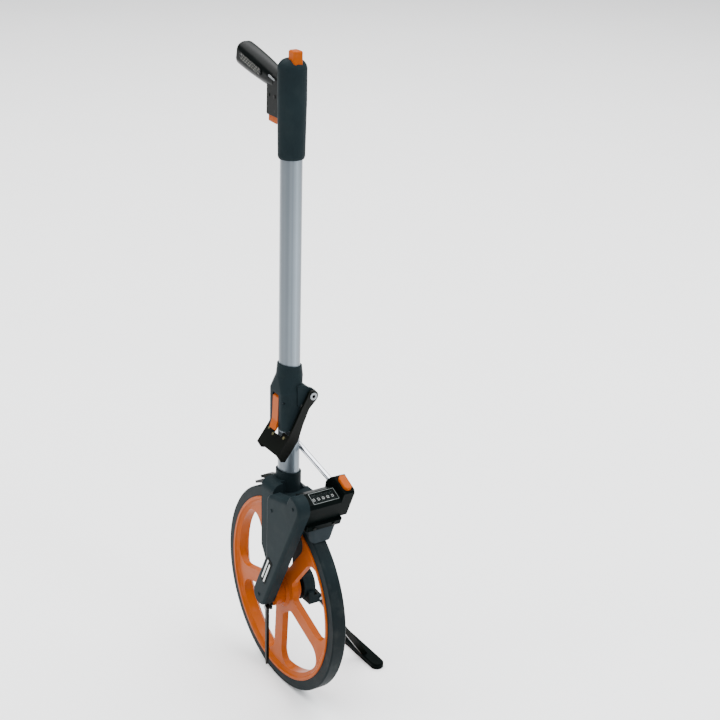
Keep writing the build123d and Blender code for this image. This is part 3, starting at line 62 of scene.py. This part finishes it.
def stretched(tree, where, scale):
    """A coordinate output, scaled along each axis."""
    node = tree.nodes.new("ShaderNodeMapping")
    node.inputs["Scale"].default_value = scale
    tree.links.new(where, node.inputs["Vector"])
    return node.outputs["Vector"]


def ranged(tree, value, source, target):
    """Map the source range of a value to the target range."""
    node = tree.nodes.new("ShaderNodeMapRange")
    node.inputs["From Min"].default_value, node.inputs["From Max"].default_value = source
    node.inputs["To Min"].default_value, node.inputs["To Max"].default_value = target
    tree.links.new(value, node.inputs["Value"])
    return node.outputs["Result"]


def combined(tree, operation, first, second):
    """One arithmetic step on an output and either another output or a number."""
    node = tree.nodes.new("ShaderNodeMath")
    node.operation = operation
    tree.links.new(first, node.inputs[0])
    if isinstance(second, float):
        node.inputs[1].default_value = second
    else:
        tree.links.new(second, node.inputs[1])
    return node.outputs[0]


def tinted(tree, share, under, over):
    """Lay a colour over an output by the given share."""
    node = tree.nodes.new("ShaderNodeMix")
    node.data_type = "RGBA"
    node.inputs["B"].default_value = over
    tree.links.new(share, node.inputs["Factor"])
    tree.links.new(under, node.inputs["A"])
    return node.outputs["Result"]


def raised(tree, height, strength, distance, normal=None):
    """Bump from a height output, on top of an earlier bump where one is given."""
    node = tree.nodes.new("ShaderNodeBump")
    node.inputs["Strength"].default_value = strength
    node.inputs["Distance"].default_value = distance * MM
    tree.links.new(height, node.inputs["Height"])
    if normal:
        tree.links.new(normal, node.inputs["Normal"])
    return node.outputs["Normal"]


def shader_of(mat):
    return next(n for n in mat.node_tree.nodes if n.type == "BSDF_PRINCIPLED")


# ---------------------------------------------------------------- materials
DRIFT_RANGE = (0.3, 0.72)
DRIFT_DETAIL = 5.0
GRAIN_DETAIL = 3.0
# painted reflection: the streak settings below lay dark lengthwise streaking on the aluminium tubes in place
# of the dark bands they reflect
REFLECTION_STREAK_STRETCH = (62.0, 62.0, 0.12)
REFLECTION_STREAK_DETAIL = 2.5
REFLECTION_STREAK_RANGE = (0.38, 0.62)
REFLECTION_STREAK_SHADE = 0.25
DUST_SCALE = 55.0
DUST_DETAIL = 8.0
DUST_RANGE = (0.5, 0.75)
DUST_COLOUR = (0.25, 0.24, 0.22, 1)
SCRATCH_STRETCH = (9.0, 9.0, 0.6)
SCRATCH_SCALE = 60.0
SCRATCH_DETAIL = 9.0
SCRATCH_DEPTH = 0.05
LEAST_ROUGH = 0.03


def shaded(colour, factor):
    """The colour made darker or lighter, with its alpha."""
    return [min(1, c * factor) for c in colour] + [1]


def material(name, colour, rough, metal=0.0, dark=0.7, light=1.25, grain=900.0, bump=0.06,
             rough_span=0.12, patch=9.0, stretch=(1, 1, 1), scratch=0.0, spec=0.5, dust=0.0,
             depth=0.05, ior=1.45, reflection_streaks=0.0):
    """Procedural finish: drifting colour, fine grain, uneven sheen, painted reflection as dark streaking,
    dust or scratches.
    """
    mat = bpy.data.materials.new(name)
    mat.use_nodes = True
    tree = mat.node_tree
    tree.nodes.clear()
    out = tree.nodes.new("ShaderNodeOutputMaterial")
    shader = tree.nodes.new("ShaderNodeBsdfPrincipled")
    tree.links.new(shader.outputs[0], out.inputs[0])
    shader.inputs["Metallic"].default_value = metal
    shader.inputs["Specular IOR Level"].default_value = spec
    shader.inputs["IOR"].default_value = ior
    where = tree.nodes.new("ShaderNodeTexCoord").outputs["Object"]

    drift = noise(tree, where, patch, DRIFT_DETAIL)
    ramp = tree.nodes.new("ShaderNodeValToRGB")
    first, last = ramp.color_ramp.elements
    first.position, last.position = DRIFT_RANGE
    first.color, last.color = shaded(colour, dark), shaded(colour, light)
    tree.links.new(drift, ramp.inputs["Fac"])
    surface = ramp.outputs["Color"]
    # painted reflection: dark lengthwise streaking stands in for dark surroundings reflected on the tubes
    if reflection_streaks > 0:
        reflection_bands = noise(tree, stretched(tree, where, REFLECTION_STREAK_STRETCH), 1.0, REFLECTION_STREAK_DETAIL)
        share = ranged(tree, reflection_bands, REFLECTION_STREAK_RANGE, (0.0, reflection_streaks))
        surface = tinted(tree, share, surface, shaded(colour, REFLECTION_STREAK_SHADE))
    if dust > 0:
        specks = noise(tree, where, DUST_SCALE, DUST_DETAIL)
        surface = tinted(tree, ranged(tree, specks, DUST_RANGE, (0.0, dust)), surface, DUST_COLOUR)
    tree.links.new(surface, shader.inputs["Base Color"])

    fine = noise(tree, stretched(tree, where, stretch), grain, GRAIN_DETAIL)
    average = combined(tree, "MULTIPLY", combined(tree, "ADD", drift, fine), 0.5)
    roughness = (max(LEAST_ROUGH, rough - rough_span), min(1.0, rough + rough_span))
    tree.links.new(ranged(tree, average, (0.0, 1.0), roughness), shader.inputs["Roughness"])

    normal = raised(tree, fine, bump, depth)
    if scratch > 0:
        lines = noise(tree, stretched(tree, where, SCRATCH_STRETCH), SCRATCH_SCALE, SCRATCH_DETAIL)
        normal = raised(tree, lines, scratch, SCRATCH_DEPTH, normal)
    tree.links.new(normal, shader.inputs["Normal"])
    return mat


# The length of one band of Blender's wave texture at scale 1.
BAND_LENGTH = 0.314
RIDGE_TURNS = (1.12, 0.3)
RIDGE_STRENGTH = 0.8


def diamonds(mat, pitch, depth):
    """Add crossed ridges in the object's XZ plane to a finish, as on a moulded grip."""
    tree = mat.node_tree
    shader = shader_of(mat)
    coord = tree.nodes.new("ShaderNodeTexCoord")
    waves = []
    for angle in RIDGE_TURNS:
        turn = tree.nodes.new("ShaderNodeMapping")
        turn.inputs["Rotation"].default_value = (0, angle, 0)
        tree.links.new(coord.outputs["Object"], turn.inputs["Vector"])
        wave = tree.nodes.new("ShaderNodeTexWave")
        wave.wave_type = "BANDS"
        wave.bands_direction = "X"
        wave.inputs["Scale"].default_value = BAND_LENGTH / (pitch * MM)
        wave.inputs["Distortion"].default_value = 0.0
        tree.links.new(turn.outputs["Vector"], wave.inputs["Vector"])
        waves.append(wave.outputs["Fac"])
    before = shader.inputs["Normal"].links[0].from_socket
    ridges = raised(tree, combined(tree, "MINIMUM", *waves), RIDGE_STRENGTH, depth, before)
    tree.links.new(ridges, shader.inputs["Normal"])
    return mat


def glass(name, alpha):
    """Clear finish that is seen through by its alpha."""
    mat = material(name, (0.02, 0.026, 0.026), 0.12, dark=0.9, light=1.0, grain=300, bump=0.02, patch=30,
                   rough_span=0.04, ior=1.12)
    shader_of(mat).inputs["Alpha"].default_value = alpha
    return mat


ORANGE = material("orange_moulding", (0.29, 0.052, 0.0), 0.33, dark=0.84, light=1.1, grain=1400,
                  bump=0.25, ior=1.16, rough_span=0.1, patch=7, dust=0.05)
SLATE = material("slate_moulding", (0.0085, 0.0140, 0.0160), 0.46, dark=0.72, light=1.25, grain=1900,
                 bump=0.35, rough_span=0.14, patch=11, dust=0.01, ior=1.09)
GUARD = material("guard_moulding", (0.0095, 0.0155, 0.019), 0.5, dark=0.8, light=1.2, grain=1700,
                 bump=0.3, patch=14, dust=0.02, ior=1.2)
BLACK = material("black_moulding", (0.0012, 0.0024, 0.0022), 0.36, dark=0.7, light=1.4, grain=1500,
                 bump=0.2, patch=12, ior=1.07)
GRIP = material("grip_moulding", (0.0014, 0.0024, 0.0022), 0.3, dark=0.7, light=1.4, grain=1300,
                bump=0.25, patch=10, ior=1.15)
PAD = material("grip_pad_rubber", (0.002, 0.003, 0.003), 0.34, grain=1500, bump=0.3, patch=18, ior=1.2)
diamonds(PAD, pitch=3.6, depth=0.9)
RUBBER = material("tyre_rubber", (0.0042, 0.0078, 0.0090), 0.55, dark=0.75, light=1.35, grain=700,
                  bump=0.5, patch=10, dust=0.03, depth=0.1, ior=1.15)
SOFT = material("soft_rubber", (0.006, 0.0065, 0.007), 0.6, grain=900, bump=0.4, patch=20, dust=0.04,
                spec=0.2)
# the tubes carry dark streaking as painted reflection
ALU = material("satin_aluminium", (0.225, 0.265, 0.30), 0.3, metal=0.5, dark=0.9, light=1.08, grain=260,
               bump=0.12, patch=5, stretch=(9, 9, 0.5), rough_span=0.08, scratch=0.05, reflection_streaks=0.75)
STEEL = material("plated_steel", (0.2, 0.21, 0.22), 0.28, metal=1.0, dark=0.85, light=1.1, grain=800,
                 bump=0.1, patch=30, scratch=0.06)
BRIGHT = material("polished_steel", (0.74, 0.77, 0.82), 0.14, metal=1.0, dark=0.92, light=1.05, grain=500,
                  bump=0.04, patch=20, rough_span=0.05)
RIVET = material("brass_rivet", (0.42, 0.38, 0.2), 0.25, metal=1.0, dark=0.85, light=1.1, grain=900,
                 bump=0.1, patch=40)
PAINT = material("olive_black_paint", (0.0018, 0.0024, 0.0016), 0.32, dark=0.75, light=1.4, grain=600,
                 bump=0.15, patch=16, scratch=0.06, ior=1.2)
PALE = material("pale_print", (0.11, 0.125, 0.12), 0.5, dark=0.85, light=1.1, grain=1200, bump=0.1,
                patch=60)
WHITE = material("figure_white", (0.5, 0.52, 0.5), 0.5, dark=0.93, light=1.03, grain=1500, bump=0.08,
                 patch=80)
DRUM = material("drum_black", (0.003, 0.004, 0.004), 0.5, grain=1800, bump=0.15, patch=60, ior=1.1)
KNOB = material("grip_knob", (0.13, 0.13, 0.11), 0.25, grain=1300, bump=0.2, patch=30)
FLOOR = material("studio_floor", (0.93, 0.93, 0.93), 0.8, dark=0.985, light=1.0, grain=40, bump=0.01,
                 patch=2)
WINDOW = glass("clear_window", alpha=0.1)

# Drums from the units up, by the body that each rides on.
DRUM_BODIES = ("counter_input", "tens", "hundreds", "thousands", "ten_thousands")

# Every CAD node that isn't plated steel.
FINISHED = (
    (ORANGE, ("wheel_disc", "latch", "top_button", "trigger", "reset_button")),
    (SLATE, ("fork", "drive_case", "drive_cover", "cover_screws", "handle_housing", "fold_sleeve")),
    (GUARD, ("tread_guard",)),
    (BLACK, ("brake_arm", "reset_block", "counter_case", "counter_plate", "label_plate", "tube_plug",
             "hub_pulley", "counter_pulley", "stand_foot")),
    (DRUM, ("drum_units", "drum_tens", "drum_hundreds", "drum_thousands", "drum_ten_thousands")),
    (GRIP, ("grip",)),
    (PAD, ("grip_pads",)),
    (RUBBER, ("tyre",)),
    (SOFT, ("drive_belt", "brake_shoe")),
    (ALU, ("upper_tube", "lower_tube")),
    (BRIGHT, ("guide_tube",)),
    (RIVET, ("stirrup_rivets",)),
    (PAINT, ("pointer", "stirrup", "fold_knuckle", "stand_leg", "trigger_pin", "plate_screws",
             "handle_screws")),
    (WHITE, ("label_bars",)),
    (WINDOW, ("counter_window",)),
)
FINISH = {name: mat for mat, names in FINISHED for name in names}

# Widths of the rounded edges of CAD nodes.
BEVELS = {
    "fork": 1.6, "drive_case": 0.5, "drive_cover": 0.6, "handle_housing": 0.9, "fold_sleeve": 0.9,
    "reset_block": 0.8, "counter_case": 0.7, "counter_plate": 0.6, "stirrup": 0.5, "latch": 0.7,
    "trigger": 0.8, "tyre": 0.6, "wheel_disc": 0.7, "grip": 1.2, "stand_leg": 0.6, "brake_arm": 0.6,
    "tread_guard": 1.0, "lower_tube": 0.3, "upper_tube": 0.3, "axle_nut": 0.4, "fold_pin": 0.3,
    "top_button": 0.5,
}


def round_edges(obj, width):
    """Small rounded edges that catch the light."""
    mod = obj.modifiers.new("rounding", "BEVEL")
    mod.width = width * MM
    mod.segments = BEVEL_STEPS
    mod.limit_method = "ANGLE"
    mod.angle_limit = BEVEL_FROM


def smooth(obj, sharp):
    """Smooth shading between faces that meet at less than the sharp angle."""
    for poly in obj.data.polygons:
        poly.use_smooth = True
    obj.data.set_sharp_from_angle(angle=sharp)


def dress(obj, mat):
    obj.data.materials.clear()
    obj.data.materials.append(mat)


for name, node in NODES.items():
    dress(node, FINISH.get(name, STEEL))
    smooth(node, SHARP_CAD)
    if name in BEVELS:
        round_edges(node, BEVELS[name])


# ------------------------------------------------------------ mesh helpers
def mesh_object(name, verts, faces, mat, body):
    """New piece from points in millimetres, riding on a body."""
    mesh = bpy.data.meshes.new(name)
    mesh.from_pydata([Vector(v) * MM for v in verts], [], faces)
    mesh.validate()
    bm = bmesh.new()
    bm.from_mesh(mesh)
    bmesh.ops.remove_doubles(bm, verts=bm.verts, dist=WELD)
    bmesh.ops.recalc_face_normals(bm, faces=bm.faces)
    bm.to_mesh(mesh)
    bm.free()
    obj = bpy.data.objects.new(name, mesh)
    bpy.context.scene.collection.objects.link(obj)
    dress(obj, mat)
    smooth(obj, SHARP_OWN)
    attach(obj, body)
    return obj


def counter_point(t, n, y):
    """Point from the counter's own directions: t forward along it and n out of it, from the axle."""
    c, s = math.cos(COUNTER_LEAN), math.sin(COUNTER_LEAN)
    return Vector((t * c + n * s, y, AXLE_Z - t * s + n * c))


def counter_box(name, across, height, side, mat):
    """Box on the counter between two values each of t, n and y."""
    footing = [(across[0], side[0]), (across[1], side[0]), (across[1], side[1]), (across[0], side[1])]
    corners = [counter_point(t, n, y) for n in height for t, y in footing]
    faces = [(0, 1, 2, 3), (7, 6, 5, 4), (0, 4, 5, 1), (1, 5, 6, 2), (2, 6, 7, 3), (3, 7, 4, 0)]
    mesh_object(name, corners, faces, mat, "frame")


# ------------------------------------------------------------- drum figures
# Each figure's pen strokes, in a cell two wide and three high.
STROKES = (
    [[(-1, -1.5), (1, -1.5), (1, 1.5), (-1, 1.5), (-1, -1.5)]],
    [[(-0.6, 1.0), (0.1, 1.5), (0.1, -1.5)]],
    [[(-1, 1.1), (-0.5, 1.5), (0.5, 1.5), (1, 1.1), (1, 0.4), (-1, -1.5), (1, -1.5)]],
    [[(-1, 1.5), (1, 1.5), (0, 0.3), (1, -0.4), (1, -1.1), (0.5, -1.5), (-0.5, -1.5), (-1, -1.1)]],
    [[(0.5, -1.5), (0.5, 1.5), (-1, -0.5), (1, -0.5)]],
    [[(1, 1.5), (-0.9, 1.5), (-1, 0.2), (0.6, 0.2), (1, -0.3), (1, -1.1), (0.5, -1.5), (-1, -1.5)]],
    [[(0.8, 1.5), (-0.4, 1.2), (-1, 0), (-1, -1.1), (-0.5, -1.5), (0.5, -1.5), (1, -1.1), (1, -0.3),
      (0.5, 0.1), (-1, 0)]],
    [[(-1, 1.5), (1, 1.5), (-0.3, -1.5)]],
    [[(-0.9, 1.5), (0.9, 1.5), (0.9, 0.1), (-0.9, 0.1), (-0.9, 1.5)],
     [(-1, 0.1), (1, 0.1), (1, -1.5), (-1, -1.5), (-1, 0.1)]],
    [[(-0.8, -1.5), (0.4, -1.2), (1, 0), (1, 1.1), (0.5, 1.5), (-0.5, 1.5), (-1, 1.1), (-1, 0.3),
      (-0.5, -0.1), (1, 0)]],
)
DRUM_T, DRUM_N, DRUM_R = 9.4, 213.0, 9.5
DRUM_PITCH = 7.6
COUNTER_Y = 2.0
FIGURE_H, FIGURE_W = 1.35, 1.3
FIGURE_THICK, FIGURE_LIFT = 0.08, 0.06
PEN_HALF, PEN_END = 0.34, 0.6
STROKE_CUTS = 3


def figures(body, drum_y):
    """Ten raised figures round a drum, with nought under the window."""
    verts, faces = [], []
    reach = DRUM_R + FIGURE_LIFT
    for figure, strokes in enumerate(STROKES):
        centre = figure * 2 * math.pi / len(STROKES)
        for a, b in [pair for stroke in strokes for pair in zip(stroke, stroke[1:])]:
            start = Vector((a[0] * FIGURE_W, a[1] * FIGURE_H))
            end = Vector((b[0] * FIGURE_W, b[1] * FIGURE_H))
            forward = (end - start).normalized()
            start -= forward * PEN_HALF * PEN_END
            end += forward * PEN_HALF * PEN_END
            sideways = Vector((-forward.y, forward.x)) * PEN_HALF
            base = len(verts)
            for i in range(STROKE_CUTS + 1):
                middle = start + (end - start) * (i / STROKE_CUTS)
                for edge in (middle - sideways, middle + sideways):
                    # figures read with their tops towards the tube
                    turn = centre - edge.y / DRUM_R
                    t = DRUM_T + math.sin(turn) * reach
                    n = DRUM_N + math.cos(turn) * reach
                    verts.append(counter_point(t, n, drum_y + edge.x))
            for i in range(STROKE_CUTS):
                s = base + 2 * i
                faces.append((s, s + 1, s + 3, s + 2))
    obj = mesh_object("figures_" + body, verts, faces, WHITE, body)
    thick = obj.modifiers.new("thickness", "SOLIDIFY")
    thick.thickness = FIGURE_THICK * MM
    thick.offset = 0.0


for index, body in enumerate(DRUM_BODIES):
    figures(body, COUNTER_Y + DRUM_PITCH * (len(DRUM_BODIES) // 2 - index))

# ------------------------------------------------------------ counter window
WINDOW_REAR, WINDOW_FRONT = 0.0, 18.7
WINDOW_NEAR, WINDOW_FAR = -18.0, 22.0
WINDOW_TOP = 225.5
SLOT_REAR, SLOT_FRONT = 6.9, 13.0
MASK_GAP = 0.3
MASK_HEIGHT = (222.9, 223.3)
MASK_SIDE = (WINDOW_NEAR + MASK_GAP, WINDOW_FAR - MASK_GAP)

# dark mask under the glass: one row of figures shows through its slot
for tag, across in (
    ("rear", (WINDOW_REAR + MASK_GAP, SLOT_REAR)),
    ("front", (SLOT_FRONT, WINDOW_FRONT - MASK_GAP)),
):
    counter_box("figure_mask_" + tag, across, MASK_HEIGHT, MASK_SIDE, BLACK)

# light outline round the counter window
OUTLINE_W, OUTLINE_SUNK, OUTLINE_PROUD = 0.7, 0.1, 0.18
OUTLINE_HEIGHT = (WINDOW_TOP - OUTLINE_SUNK, WINDOW_TOP + OUTLINE_PROUD)
OUTLINE_SIDE = (WINDOW_NEAR - OUTLINE_W, WINDOW_FAR + OUTLINE_W)
WINDOW_ACROSS = (WINDOW_REAR, WINDOW_FRONT)
for tag, across, side in (
    ("rear", (WINDOW_REAR - OUTLINE_W, WINDOW_REAR), OUTLINE_SIDE),
    ("front", (WINDOW_FRONT, WINDOW_FRONT + OUTLINE_W), OUTLINE_SIDE),
    ("near", WINDOW_ACROSS, (WINDOW_NEAR - OUTLINE_W, WINDOW_NEAR)),
    ("far", WINDOW_ACROSS, (WINDOW_FAR, WINDOW_FAR + OUTLINE_W)),
):
    counter_box("window_outline_" + tag, across, OUTLINE_HEIGHT, side, PALE)

# ------------------------------------------------------- knobs on the grip
PAD_LOW, PAD_HIGH = (Vector(corner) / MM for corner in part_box("grip_pads"))
KNOB_ROWS, KNOB_COLUMNS = 3, 9
KNOB_ALONG, KNOB_ACROSS = 6.2, 3.1
KNOB_H = 0.5
KNOB_FILL = 0.3


def grip_knobs(tag, side, face_y):
    """Staggered low pyramids over one side pad of the grip."""
    centre = (PAD_LOW + PAD_HIGH) / 2
    centre.y = face_y
    along = Vector((-math.cos(GRIP_LEAN), 0, math.sin(GRIP_LEAN)))
    across = Vector((math.sin(GRIP_LEAN), 0, math.cos(GRIP_LEAN)))
    verts, faces = [], []
    for row in range(KNOB_ROWS):
        columns = KNOB_COLUMNS - row % 2
        for column in range(columns):
            u = (column - (columns - 1) / 2) * KNOB_ALONG
            v = (row - (KNOB_ROWS - 1) / 2) * KNOB_ACROSS
            middle = centre + along * u + across * v
            base = len(verts)
            reach = (along * KNOB_ALONG * KNOB_FILL, across * KNOB_ACROSS * KNOB_FILL)
            verts += [middle + reach[0], middle + reach[1], middle - reach[0], middle - reach[1]]
            verts.append(middle + Vector((0, side * KNOB_H, 0)))
            faces += [(base + i, base + (i + 1) % 4, base + 4) for i in range(4)]
            faces.append((base + 3, base + 2, base + 1, base))
    mesh_object("grip_knobs_" + tag, verts, faces, KNOB, "upper_frame")


grip_knobs("near", -1, PAD_LOW.y)
grip_knobs("far", 1, PAD_HIGH.y)

# ------------------------------------------------------------------- stage
FLOOR_HALF = 30.0
FLOOR_DROP = 0.0002
SKY_COLOUR = (0.93, 0.96, 1.0, 1)
SKY_STRENGTH = 0.34

floor_mesh = bpy.data.meshes.new("studio_floor")
floor_corners = [(x * FLOOR_HALF, y * FLOOR_HALF, 0) for x, y in ((-1, -1), (1, -1), (1, 1), (-1, 1))]
floor_mesh.from_pydata(floor_corners, [], [(0, 1, 2, 3)])
floor = bpy.data.objects.new("studio_floor", floor_mesh)
floor.location.z = -FLOOR_DROP
bpy.context.scene.collection.objects.link(floor)
floor.data.materials.append(FLOOR)

world = bpy.data.worlds.new("studio")
bpy.context.scene.world = world
world.use_nodes = True
sky = world.node_tree.nodes["Background"]
sky.inputs["Color"].default_value = SKY_COLOUR
sky.inputs["Strength"].default_value = SKY_STRENGTH


def lamp(name, where, towards, size, power, colour=(1, 1, 1)):
    """Area lamp at one place, facing another."""
    data = bpy.data.lights.new(name, "AREA")
    data.shape = "RECTANGLE"
    data.size, data.size_y = size
    data.energy = power
    data.color = colour
    obj = bpy.data.objects.new(name, data)
    obj.location = where
    aim = (Vector(towards) - Vector(where)).to_track_quat("-Z", "Y")
    obj.rotation_euler = aim.to_euler()
    bpy.context.scene.collection.objects.link(obj)


lamp("overhead", where=(-0.9, 0.7, 4.8), towards=(-0.9, 0.7, 0), size=(9.0, 9.0), power=1350)
lamp("key", where=(-0.5, -2.5, 1.7), towards=(0, 0, 0.5), size=(0.9, 1.7), power=34)
lamp("front", where=(2.5, 0.7, 1.5), towards=(0, 0, 0.6), size=(0.45, 1.8), power=30,
     colour=(0.80, 0.92, 1.0))
lamp("far", where=(0.6, 2.8, 1.8), towards=(0, 0, 0.5), size=(1.2, 1.6), power=20)

# ------------------------------------------------------------------ camera
# Fitted to the photograph, with the wheel as the scale. The lens and sensor are millimetres.
AROUND, ABOVE, ROLL = math.radians(57.126), math.radians(22.528), math.radians(1.63)
TARGET = Vector((0.1914, 0.0, 0.60085))
DISTANCE = 1.98584
LENS, SENSOR = 75.87, 36.0

back = Vector((math.sin(AROUND) * math.cos(ABOVE), -math.cos(AROUND) * math.cos(ABOVE), math.sin(ABOVE)))
level = Vector((math.cos(AROUND), math.sin(AROUND), 0))
upright = back.cross(level)
right = level * math.cos(ROLL) + upright * math.sin(ROLL)
up = upright * math.cos(ROLL) - level * math.sin(ROLL)
cam_data = bpy.data.cameras.new("view")
cam_data.lens = LENS
cam_data.sensor_width = SENSOR
cam = bpy.data.objects.new("view", cam_data)
turn = Matrix((right, up, back)).transposed().to_4x4()
cam.matrix_world = Matrix.Translation(TARGET + back * DISTANCE) @ turn
bpy.context.scene.collection.objects.link(cam)
bpy.context.scene.camera = cam
